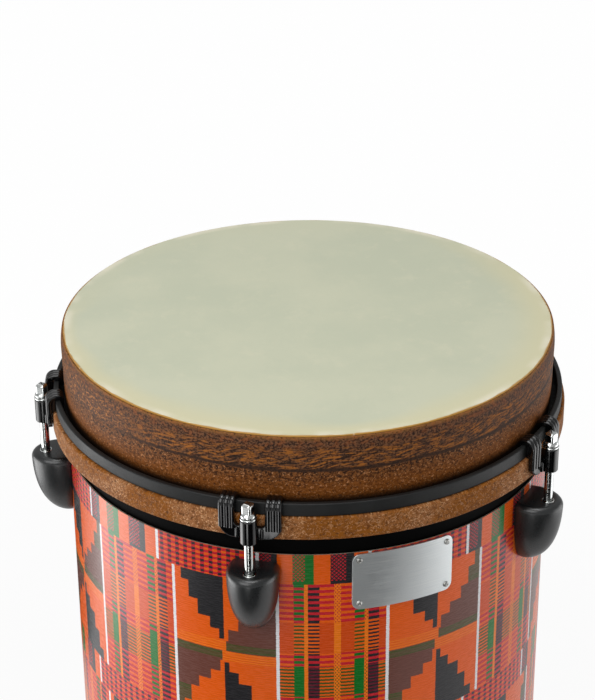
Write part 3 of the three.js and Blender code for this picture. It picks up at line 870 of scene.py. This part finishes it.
def make_cream_film():
    """Cream film with faint clouds like parchment, warmer at the front rim, an edge soaked amber, and a
    painted highlight band and painted glints along that edge.
    """
    finish, shader = new_finish("cream_film", colour(206, 209, 187), 0.5, specular_ior_level=0.3)
    tree = finish.node_tree
    place = object_place(tree)
    around = use_group(tree, round_place, film_high.x / mm)["Around"]
    rim = maths("SUBTRACT", film_high.x, from_axis(place))
    broad = noise(place, 14, 5.0, 0.6)
    cloudy = noise(place, 62, 5.0, 0.65)
    middle = mixed(ranged(broad, 0.35, 0.65), colour(200, 204, 180), colour(207, 209, 184))
    middle = mixed(ranged(cloudy, 0.52, 0.7, 0.0, 0.5), middle, colour(212, 212, 187))
    played = ranged(axes_of(place)["Y"], -20 * mm, 110 * mm, 0.8, 0.1)
    warm_reach = ranged(noise(place, 8, 2.0), 0.36, 0.6, 10 * mm, 30 * mm)
    warm = both(ranged(rim, 3 * mm, warm_reach, 1.0, 0.0), played)
    cream = mixed(warm, middle, colour(217, 211, 174))

    def along_edge(length, detail):
        return noise(flat_vector(maths("DIVIDE", around, length), 0.0), 1.0, detail)

    # A pale band just inside the amber edge is a painted highlight on the film's rounding.
    painted_rim_highlight = ranged(along_edge(40.0, 2.0), 0.42, 0.6, 0.0, 0.7)
    painted_rim_highlight = both(painted_rim_highlight, ranged(rim, 2.0 * mm, 7.0 * mm, 1.0, 0.0))
    cream = mixed(painted_rim_highlight, cream, colour(236, 230, 208))
    amber_reach = ranged(along_edge(24.0, 4.0), 0.36, 0.64, 0.6 * mm, 1.8 * mm)
    amber = ranged(rim, 0.3 * mm, amber_reach, 1.0, 0.0)
    # Rare pale spots on the amber edge are painted glints.
    painted_glints = ranged(along_edge(13.0, 2.0), 0.66, 0.71, 0.0, 0.75)
    edge = mixed(painted_glints, colour(178, 130, 54), colour(242, 232, 212))
    edge = mixed(ranged(rim, 0.01 * mm, 0.05 * mm, 1.0, 0.0), edge, colour(112, 72, 36))
    feed(shader.inputs["Base Color"], mixed(amber, cream, edge))
    grain = noise(place, 700, 3.0, 0.6)
    feed(shader.inputs["Roughness"], ranged(grain, 0.3, 0.7, 0.44, 0.56))
    bumped(shader, grain, 0.08, 0.05 * mm)
    return finish


add_piece("film_disc", turned([
    (0, film_high.z - film_thickness, 0),
    (film_high.x - film_thickness, film_high.z - film_thickness, film_round - film_thickness),
    (film_high.x - film_thickness, film_low.z, 0),
    (film_high.x, film_low.z, 0),
    (film_high.x, film_high.z, film_round),
    (0, film_high.z, 0),
], segments=8), make_cream_film(), "film", "head", "head_film")


def make_collar_fibre():
    """Fibre, amber at the rim, streaked like wood above a dark seam, flecked below, with painted shade at its
    foot.
    """
    finish, shader = new_finish("collar_fibre", colour(110, 72, 48), 0.6, specular_ior_level=0.12)
    tree = finish.node_tree
    around, down = use_group(tree, round_place, collar_high.x / mm)

    def patch(long, short, detail, distortion=0.0, row=down):
        vector = flat_vector(maths("DIVIDE", around, long), maths("DIVIDE", row, short))
        return noise(vector, 1.0, detail, 0.6, distortion)

    mottle = patch(1.5, 1.3, 3.0)
    blotch = patch(5.0, 3.0, 3.0)
    zone = maths("MULTIPLY_ADD", patch(60.0, 14.0, 2.0), 4.0, maths("SUBTRACT", down, 2.0))
    ground = mixed(ranged(mottle, 0.4, 0.6), colour(42, 29, 22), colour(116, 78, 53))
    rusty = both(ranged(zone, 3.0, 9.0, 0.4, 0.2), ranged(blotch, 0.48, 0.62))
    ground = mixed(rusty, ground, colour(152, 82, 38))
    soaked = ranged(maths("MULTIPLY_ADD", mottle, 3.4, down), 2.7, 5.2, 0.4, 0.0)
    ground = mixed(soaked, ground, colour(172, 116, 56))
    sloped = maths("MULTIPLY_ADD", around, 0.12, down)
    grain_row = maths("MULTIPLY_ADD", patch(40.0, 60.0, 1.0), 14.0, sloped)
    streak = patch(8.0, 1.3, 3.0, 0.6, grain_row)
    wood = both(ranged(zone, 6.0, 10.0), ranged(zone, 19.6, 21.6, 1.0, 0.0))
    grained = ranged(around, -210.0, -130.0)
    wood = both(wood, grained)
    golden = ranged(maths("MULTIPLY_ADD", blotch, 0.25, streak), 0.6, 0.76)
    ground = mixed(both(wood, golden), ground, colour(158, 96, 38))
    dim = ranged(streak, 0.5, 0.36, 0.0, 0.85)
    ground = mixed(both(wood, dim), ground, colour(42, 29, 22))
    chaff = ranged(patch(2.4, 1.5, 2.0, 0.8), 0.53, 0.63, 0.0, 0.7)
    chaff = both(chaff, both(ranged(zone, 3.0, 7.0), maths("SUBTRACT", 1.0, grained)))
    ground = mixed(chaff, ground, colour(196, 126, 64))
    below = ranged(zone, 21.4, 23.0)
    fleck = ranged(patch(1.9, 1.6, 2.0, 0.6), 0.38, 0.62)
    flecked = mixed(fleck, colour(38, 22, 11), colour(126, 76, 36))
    ground = mixed(below, ground, flecked)
    amber_row = ranged(maths("MULTIPLY_ADD", blotch, 12.0, down), 29.0, 41.0, 0.0, 0.6)
    ground = mixed(both(below, amber_row), ground, colour(130, 71, 14))
    specks = both(below, ranged(patch(1.5, 1.3, 2.0, 1.0), 0.57, 0.66, 0.0, 0.7))
    ground = mixed(specks, ground, colour(196, 138, 92))
    pits = ranged(patch(1.6, 1.4, 2.0), 0.44, 0.36, 0.0, 0.7)
    ground = mixed(pits, ground, colour(32, 19, 12))
    seam = maths("ABSOLUTE", maths("SUBTRACT", zone, 21.3))
    seam = both(ranged(seam, 0.4, 1.9, 0.8, 0.0), ranged(grained, 0.0, 1.0, 0.3, 1.0))
    ground = mixed(seam, ground, colour(40, 28, 21))
    # Painted shade: the collar's foot goes near black where the counterhoop and flesh hoop shade the gap.
    foot_shade = ranged(maths("MULTIPLY_ADD", mottle, 4.0, down), 38.0, 44.5, 0.0, 0.97)
    ground = mixed(foot_shade, ground, colour(16, 9, 4))
    feed(shader.inputs["Base Color"], ground)
    feed(shader.inputs["Roughness"], ranged(mottle, 0.3, 0.7, 0.5, 0.72))
    bumped(shader, maths("ADD", mottle, streak), 0.5, 0.3 * mm)
    return finish


add_piece("collar_wall", turned([
    (collar_foot - collar_wall, collar_low.z, 0),
    (collar_foot, collar_low.z, 0),
    (collar_foot, flesh_high.z, 0),
    (collar_high.x, collar_high.z - collar_taper, taper_round),
    (rim_outer, collar_high.z, rim_round),
    (rim_inner, collar_high.z, 0),
    (collar_foot - collar_wall, flesh_high.z, 0),
]), make_collar_fibre(), "collar_fibre", "head", "head_collar")


def make_hoop_fibre():
    """Tan fibre with amber and rusty patches, pale curled flecks and dark specks, and painted shade, near
    black, on its top next to the collar.
    """
    finish, shader = new_finish("hoop_fibre", colour(162, 106, 60), 0.65, specular_ior_level=0.12)
    tree = finish.node_tree
    around, down = use_group(tree, round_place, flesh_high.x / mm)
    flat = flat_vector(around, down)
    plain = ranged(noise(flat, 0.025, 3.0), 0.42, 0.58)
    mottle = noise(flat, 0.55, 3.0, 0.6)
    ground = mixed(plain, colour(136, 79, 19), colour(149, 98, 58))
    rusty = ranged(noise(flat, 0.16, 4.0, 0.65), 0.46, 0.62, 0.0, 0.6)
    ground = mixed(rusty, ground, colour(108, 60, 22))
    ground = mixed(ranged(mottle, 0.47, 0.37, 0.0, 0.8), ground, colour(84, 48, 20))
    curl = ranged(noise(flat, 0.42, 2.0, 0.5, 2.6), 0.55, 0.63)
    pale = maths("MULTIPLY", curl, maths("MULTIPLY_ADD", plain, 0.4, 0.32))
    ground = mixed(pale, ground, colour(214, 168, 124))
    # Painted shade: the hoop's top next to the collar goes near black, as the gap under the counterhoop lies
    # in shade.
    inside = collar_foot + gap_shade_reach
    gap_shade = ranged(from_axis(object_place(tree)), inside, inside + gap_shade_fade, 1.0, 0.0)
    feed(shader.inputs["Base Color"], mixed(gap_shade, ground, colour(12, 9, 7)))
    feed(shader.inputs["Roughness"], ranged(mottle, 0.3, 0.7, 0.55, 0.75))
    bumped(shader, mottle, 0.45, 0.3 * mm)
    return finish


flesh_ring = ring(collar_foot, flesh_high.x, flesh_low.z, flesh_high.z, (0, flesh_round, flesh_round, 0))
add_piece("flesh_ring", flesh_ring, make_hoop_fibre(), "hoop_fibre", "head", "flesh_hoop")

# Counterhoop: a flat steel band rolled into a ring and powder coated satin black. It rests on the flesh hoop
# and the claws hook over its upper edge.

hoop_low, hoop_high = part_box("counterhoop")
hoop_thickness = 3.3 * mm
hoop_inner = hoop_high.x - hoop_thickness
hoop_edges = (0.6 * mm, 0.6 * mm, 0.8 * mm, 0.8 * mm)
hoop_coat = speckled("hoop_coat", colour(18, 19, 19), colour(28, 29, 29), scale=900,
                     roughness=(0.44, 0.6), strength=0.3, depth=0.12 * mm, specular_ior_level=0.28)
hoop_band = ring(hoop_inner, hoop_high.x, hoop_low.z, hoop_high.z, hoop_edges)
add_piece("hoop_band", hoop_band, hoop_coat, "hoop_steel", "head", "counterhoop")

# Claws: die castings in gloss black enamel. Each has two ribbed fingers that hook over the counterhoop, a
# yoke that joins them and a boss that the tension rod passes through.

claw_inner = flesh_high.x + 0.5 * mm
claw_thickness = 3.2 * mm
claw_width = 36.7 * mm
claw_bottom = playing_height - 61.6 * mm
claw_bar = 7.6 * mm
claw_corner = 9 * mm
claw_crotch = 3 * mm
finger_width = 9.6 * mm
heel_width = finger_width - 0.8 * mm
finger_start = claw_bottom + claw_corner - 3 * mm
finger_turn = math.asin((claw_width - finger_width) / 2 / claw_inner)
hook_underside = hoop_high.z + 0.3 * mm
hook_bend = 2.4 * mm
hook_steps = 8
lip_bend = 1.2 * mm
lip_outer = hoop_inner - 0.7 * mm
lip_thickness = 1.3 * mm
lip_bottom = hoop_high.z - 3.2 * mm
rib_height = 0.75 * mm
rib_half = 1.45 * mm
rib_pitch = 3.15 * mm
rib_steps = 6
finger_ease = 0.4 * mm
finger_side = 0.5 * mm
yoke_thickness = claw_thickness - 0.3 * mm
yoke_back = claw_inner + 0.1 * mm
yoke_ease = 0.7 * mm
yoke_cuts = 12
heel_gap = 0.4 * mm
heel_sink = 0.5 * mm
boss_edges = (0.2 * mm, 0.7 * mm, 0.5 * mm, 0.2 * mm)
boss_radius = 5 * mm
boss_bore = 3.1 * mm
boss_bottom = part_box("claw_1")[0].z
boss_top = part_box("rod_washer_1")[0].z - 0.3 * mm
web_radius = 1.1 * mm
web_place = 7.4 * mm
web_low = claw_bottom + 0.6 * mm
web_high = claw_bottom + claw_bar - 0.4 * mm
web_low_round = 0.6 * mm
web_high_round = 0.9 * mm


def finger_section(bm):
    """The finger's flat cross-section at its foot: a plain back and three round ribs in front."""
    half = finger_width / 2
    flat = claw_thickness - 0.5 * rib_height
    side = flat - finger_side
    points = [(finger_ease - half, 0), (half - finger_ease, 0), (half, finger_ease), (half, side)]
    for rib in (rib_pitch, 0, -rib_pitch):
        for step in range(rib_steps + 1):
            turn = math.pi * step / rib_steps
            points.append((rib + rib_half * math.cos(turn), flat + rib_height * math.sin(turn)))
    points += [(-half, side), (-half, finger_ease)]
    return bm.faces.new([bm.verts.new((claw_inner + out, across, finger_start)) for across, out in points])


def turn_about(x, z, angle):
    pivot = Matrix.Translation((x, 0, z))
    return pivot @ Matrix.Rotation(angle, 4, "Y") @ pivot.inverted()


def ribbed_finger():
    """A finger that rises, bends over the counterhoop and ends in a thin lip inside it."""
    bm = bmesh.new()
    face = finger_section(bm)
    quarter = math.pi / 2
    bend_height = hook_underside - hook_bend
    face = grow_face(bm, face, Matrix.Translation((0, 0, bend_height - finger_start)), keep=True)
    for step in range(hook_steps):
        face = grow_face(bm, face, turn_about(claw_inner - hook_bend, bend_height, -quarter / hook_steps))
    lip_start = lip_outer + lip_bend
    face = grow_face(bm, face, Matrix.Translation((lip_start - claw_inner + hook_bend, 0, 0)))
    lip_height = hook_underside - lip_bend
    level = Matrix.Translation((0, 0, hook_underside))
    thinning = (lip_thickness / claw_thickness) ** (1 / hook_steps)
    thin = level @ Matrix.Diagonal((1, 1, thinning, 1)) @ level.inverted()
    for step in range(hook_steps):
        flat = turn_about(lip_start, lip_height, quarter * step / hook_steps)
        bent = turn_about(lip_start, lip_height, -quarter * (step + 1) / hook_steps)
        face = grow_face(bm, face, bent @ thin @ flat)
    grow_face(bm, face, Matrix.Translation((0, 0, lip_bottom - lip_height)))
    return bm


def yoke():
    """The U-shaped plate behind the boss, with round corners and eased edges, curved like the hoops."""
    half = claw_width / 2
    inside = half - finger_width
    bar_top = claw_bottom + claw_bar
    arm_top = flesh_high.z
    corners = [
        (-half, arm_top, 0), (-half, claw_bottom, claw_corner), (half, claw_bottom, claw_corner),
        (half, arm_top, 0), (inside, arm_top, 0), (inside, bar_top, claw_crotch),
        (-inside, bar_top, claw_crotch), (-inside, arm_top, 0),
    ]
    bm = eased_plate(corners, 8, yoke_thickness, yoke_ease)
    roll(bm, yoke_back, claw_width, yoke_cuts)
    bmesh.ops.transform(bm, matrix=Matrix.Rotation(math.pi / 2, 4, "Z"), verts=bm.verts)
    return bm


def heel():
    """The step behind a finger that bears on the counterhoop."""
    bm = bmesh.new()
    low = Vector((hoop_high.x + heel_gap, heel_width / -2, flesh_high.z + heel_gap))
    high = Vector((claw_inner + heel_sink, heel_width / 2, hook_underside + heel_sink))
    size = Matrix.Diagonal((*(high - low), 1))
    bmesh.ops.create_cube(bm, size=1, matrix=Matrix.Translation((low + high) / 2) @ size)
    return bm


def take_in(bm, other, move):
    """Move another bmesh and join it into this one."""
    bmesh.ops.transform(other, matrix=move, verts=other.verts)
    mesh = bpy.data.meshes.new("part")
    other.to_mesh(mesh)
    other.free()
    bm.from_mesh(mesh)
    bpy.data.meshes.remove(mesh)


def claw_casting():
    bm = yoke()
    for side in (-1, 1):
        place = Matrix.Rotation(side * finger_turn, 4, "Z")
        take_in(bm, ribbed_finger(), place)
        take_in(bm, heel(), place)
    boss = ring(boss_bore, boss_radius, boss_bottom, boss_top, boss_edges, steps=64)
    take_in(bm, boss, Matrix.Translation((rod_axis, 0, 0)))
    for side in (-1, 1):
        web = turned([
            (0, web_low, 0),
            (web_radius, web_low, web_low_round),
            (web_radius, web_high, web_high_round),
            (0, web_high, 0),
        ], steps=24)
        take_in(bm, web, Matrix.Translation((claw_inner + yoke_thickness, side * web_place, 0)))
    bmesh.ops.recalc_face_normals(bm, faces=bm.faces)
    return bm


claw_enamel = speckled("claw_enamel", colour(5, 5, 6), colour(9, 9, 10), scale=350,
                       roughness=(0.06, 0.14), strength=0.05, depth=0.05 * mm)
for number, angle in enumerate(rod_angles, 1):
    add_piece(f"claw_casting_{number}", claw_casting(), claw_enamel, "claw_enamel", "head", f"claw_{number}",
              place=Matrix.Rotation(angle, 4, "Z"), crease=50)

# Tension rods: plated steel screws with a square head, a flange and a long threaded shank, each on a plated
# washer. Turning them draws the claws, the hoops and the head down.

rod_radius = 2.75 * mm
thread_pitch = 25.4 / 24 * mm
thread_core = 2.3 * mm
thread_turns = 20
thread_steps = 20
thread_sink = 0.2 * mm
thread_start = 0.3 * mm
thread_runout = 0.5 * mm
rod_tip_round = 0.5 * mm
flange_stand = 1.8 * mm
flange_radius = 4.6 * mm
flange_height = 1.6 * mm
flange_slope = 0.3 * mm
flange_low_round = 0.3 * mm
flange_high_round = 0.4 * mm
collar_radius = 3.5 * mm
collar_rise = 1.2 * mm
collar_round = 0.5 * mm
head_sink = 0.3 * mm
head_width = 6.35 * mm
head_corner = 1.5 * mm
head_dome = 2.2 * mm
washer_radius = 5 * mm
washer_bore = 3.1 * mm
washer_edges = (0, 0.3 * mm, 0.3 * mm, 0)
head_turns = (-20, -12, 38, 8, -30)


def add_thread(bm, bottom):
    """A helical ridge round the shank's core."""
    ridge = bmesh.new()
    root = thread_core - thread_sink
    points = [(root, 0), (rod_radius, 0.4), (rod_radius, 0.55), (root, 0.95)]
    verts = [ridge.verts.new((radius, 0, bottom + share * thread_pitch)) for radius, share in points]
    for start, end in zip(verts, verts[1:] + verts[:1]):
        ridge.edges.new((start, end))
    bmesh.ops.spin(ridge, geom=ridge.verts[:] + ridge.edges[:], axis=(0, 0, 1), cent=(0, 0, 0),
                   dvec=(0, 0, thread_pitch / thread_steps), angle=2 * math.pi * thread_turns,
                   steps=thread_steps * thread_turns, use_merge=False, use_duplicate=False)
    bmesh.ops.holes_fill(ridge, edges=ridge.edges[:], sides=4)
    take_in(bm, ridge, Matrix.Identity(4))


def square_head(bottom, top):
    """A square head with eased corners and a domed top."""
    bm = bmesh.new()
    size = Matrix.Diagonal((head_width, head_width, top - bottom, 1))
    bmesh.ops.create_cube(bm, size=1, matrix=Matrix.Translation((0, 0, (bottom + top) / 2)) @ size)
    upright = [edge for edge in bm.edges if abs(edge.verts[0].co.z - edge.verts[1].co.z) > head_width / 2]
    round_off(bm, upright, head_corner, 4)
    upper = [edge for edge in bm.edges if min(vert.co.z for vert in edge.verts) > top - 0.1 * mm]
    round_off(bm, upper, head_dome, 6)
    return bm


def tension_screw(low, high, head_turn):
    flange_bottom = boss_top + flange_stand
    flange_top = flange_bottom + flange_height
    thread_top = low + (thread_turns + 1) * thread_pitch
    bm = turned([
        (0, low, 0),
        (thread_core, low, rod_tip_round),
        (thread_core, thread_top, 0),
        (rod_radius, thread_top + thread_runout, 0),
        (rod_radius, flange_bottom, 0),
        (flange_radius, flange_bottom, flange_low_round),
        (flange_radius, flange_top - flange_slope, flange_high_round),
        (collar_radius, flange_top + collar_rise, collar_round),
        (0, flange_top + collar_rise, 0),
    ], steps=48)
    add_thread(bm, low + thread_start)
    take_in(bm, square_head(flange_top - head_sink, high), Matrix.Rotation(head_turn, 4, "Z"))
    bmesh.ops.recalc_face_normals(bm, faces=bm.faces)
    return bm


for number, angle in enumerate(rod_angles, 1):
    rod_low, rod_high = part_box(f"tension_rod_{number}")
    stand = Matrix.Rotation(angle, 4, "Z") @ Matrix.Translation((rod_axis, 0, 0))
    rod = tension_screw(rod_low.z, rod_high.z, math.radians(head_turns[number - 1]))
    add_piece(f"tension_screw_{number}", rod, plating, "plating", f"rod_{number}", f"tension_rod_{number}",
              place=stand)
    washer_low, washer_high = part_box(f"rod_washer_{number}")
    washer = ring(washer_bore, washer_radius, washer_low.z, washer_high.z, washer_edges, steps=48)
    add_piece(f"plated_washer_{number}", washer, plating, "plating", "head", f"rod_washer_{number}",
              place=stand)

# Studio: a white floor that runs into a white surround, a strip lamp at each side and a small one in front, a
# fill, a key and a soft lamp above, and dark cards. The camera looks down on the head from the front.

view_turn = -21.14
view_tilt = math.radians(26.947)
view_roll = math.radians(-0.4107)
view_distance = 1.3259
aim_right = 6.42 * mm
aim_up = 20.76 * mm
focal_length = 109.04
floor_radius = 12
floor_grey = 0.75
mirrored_floor = 0.68
mirrored_sky = 0.5
sky_fill = 0.18
head_centre = Vector((0, 0, playing_height))


def beside_camera(turn, distance, height):
    """A place at that many degrees to the right of the camera, seen from the drum's axis."""
    angle = math.radians(view_turn + turn)
    return Vector((distance * math.sin(angle), -distance * math.cos(angle), height))


def seen_in(tree, mirrored_share):
    """1 to the camera, straight on or through glass, and a share of it in mirrors."""
    path = tree.nodes.new("ShaderNodeLightPath").outputs
    mirrored = maths("MULTIPLY", path["Is Glossy Ray"], mirrored_share)
    return any_of([path["Is Camera Ray"], path["Is Transmission Ray"], mirrored])


def make_floor_finish():
    """White to the camera, nearly white in mirrors, and a plain pale card that takes the drum's shadow."""
    finish = bpy.data.materials.new("studio_floor")
    finish.use_nodes = True
    tree = finish.node_tree
    tree.nodes.clear()
    card = tree.nodes.new("ShaderNodeBsdfDiffuse")
    card.inputs["Color"].default_value = (floor_grey, floor_grey, floor_grey, 1)
    glow = tree.nodes.new("ShaderNodeEmission")
    glow.inputs["Strength"].default_value = 1.0
    seen = seen_in(tree, mirrored_floor)
    blend = tree.nodes.new("ShaderNodeMixShader")
    white_share = ranged(from_axis(object_place(tree)), 0.4, 1.4, 0.92, 0.99)
    feed(blend.inputs[0], both(seen, white_share))
    feed(blend.inputs[1], card.outputs[0])
    feed(blend.inputs[2], glow.outputs[0])
    result = tree.nodes.new("ShaderNodeOutputMaterial")
    feed(result.inputs["Surface"], blend.outputs[0])
    return finish


def add_stage(name, bm, finish):
    piece = new_object(name, bm, finish)
    return piece


bm = bmesh.new()
bmesh.ops.create_circle(bm, cap_ends=True, segments=64, radius=floor_radius)
add_stage("floor", bm, make_floor_finish())

dark_card = new_finish("dark_card", colour(20, 20, 20), 0.9, specular_ior_level=0.0)[0]


def add_card(name, turn, near, far, width):
    """A dark card on the floor for mirrors alone to see, between two distances from the drum's axis."""
    bm = bmesh.new()
    size = Matrix.Diagonal((width / 2, (far - near) / 2, 1, 1))
    shift = Matrix.Translation((0, -(far + near) / 2, 1 * mm))
    aim = Matrix.Rotation(math.radians(view_turn + turn), 4, "Z")
    bmesh.ops.create_grid(bm, x_segments=1, y_segments=1, size=1, matrix=aim @ shift @ size)
    card = add_stage(name, bm, dark_card)
    card.visible_camera = False
    card.visible_diffuse = False
    card.visible_shadow = False


add_card("front_card", -14, 0.48, 1.33, 1.3)
add_card("right_card", 34, 0.95, 2.4, 0.7)
add_card("back_left_card", -150, 0.7, 2.2, 0.62)

world = bpy.data.worlds.new("studio")
bpy.context.scene.world = world
world.use_nodes = True
surround = world.node_tree.nodes["Background"]
surround.inputs["Color"].default_value = (1, 1, 1, 1)
seen = seen_in(world.node_tree, mirrored_sky)
feed(surround.inputs["Strength"], maths("MAXIMUM", seen, sky_fill))


def add_lamp(name, place, aim, width, height, power):
    lamp = bpy.data.lights.new(name, "AREA")
    lamp.shape = "RECTANGLE"
    lamp.size = width
    lamp.size_y = height
    lamp.energy = power
    holder = bpy.data.objects.new(name, lamp)
    bpy.context.scene.collection.objects.link(holder)
    holder.location = place
    holder.rotation_euler = (Vector(aim) - Vector(place)).to_track_quat("-Z", "Y").to_euler()
    holder.visible_camera = False


strip_aim = Vector((0, 0, 0.55))
add_lamp("left_strip", beside_camera(-91, 0.9, 0.32), strip_aim, 0.7, 0.6, 4.7)
add_lamp("right_strip", beside_camera(90, 1.1, 0.47), strip_aim, 1.1, 0.9, 5)
add_lamp("front_strip", beside_camera(-14, 0.95, 0.21), strip_aim, 0.26, 0.14, 0.45)
add_lamp("top_softbox", beside_camera(200, 0.3, 2.3), head_centre, 1.6, 1.6, 6.9)
add_lamp("front_key", beside_camera(-12, 0.5, 2.1), head_centre, 0.9, 0.5, 8)
add_lamp("front_fill", beside_camera(-32, 1.7, 1.7), strip_aim, 1.6, 1.2, 18.5)

facing = Matrix.Rotation(math.radians(view_turn), 3, "Z")
forward = facing @ Vector((0, math.cos(view_tilt), -math.sin(view_tilt)))
level_right = facing @ Vector((1, 0, 0))
level_up = facing @ Vector((0, math.sin(view_tilt), math.cos(view_tilt)))
camera_place = head_centre - view_distance * forward - aim_right * level_right - aim_up * level_up
right = math.cos(view_roll) * level_right + math.sin(view_roll) * level_up
up = math.cos(view_roll) * level_up - math.sin(view_roll) * level_right
lens = bpy.data.cameras.new("camera")
lens.lens = focal_length
lens.clip_end = 50
camera = bpy.data.objects.new("camera", lens)
bpy.context.scene.collection.objects.link(camera)
axes = Matrix((right, up, -forward)).transposed().to_4x4()
camera.matrix_world = Matrix.Translation(camera_place) @ axes
bpy.context.scene.camera = camera
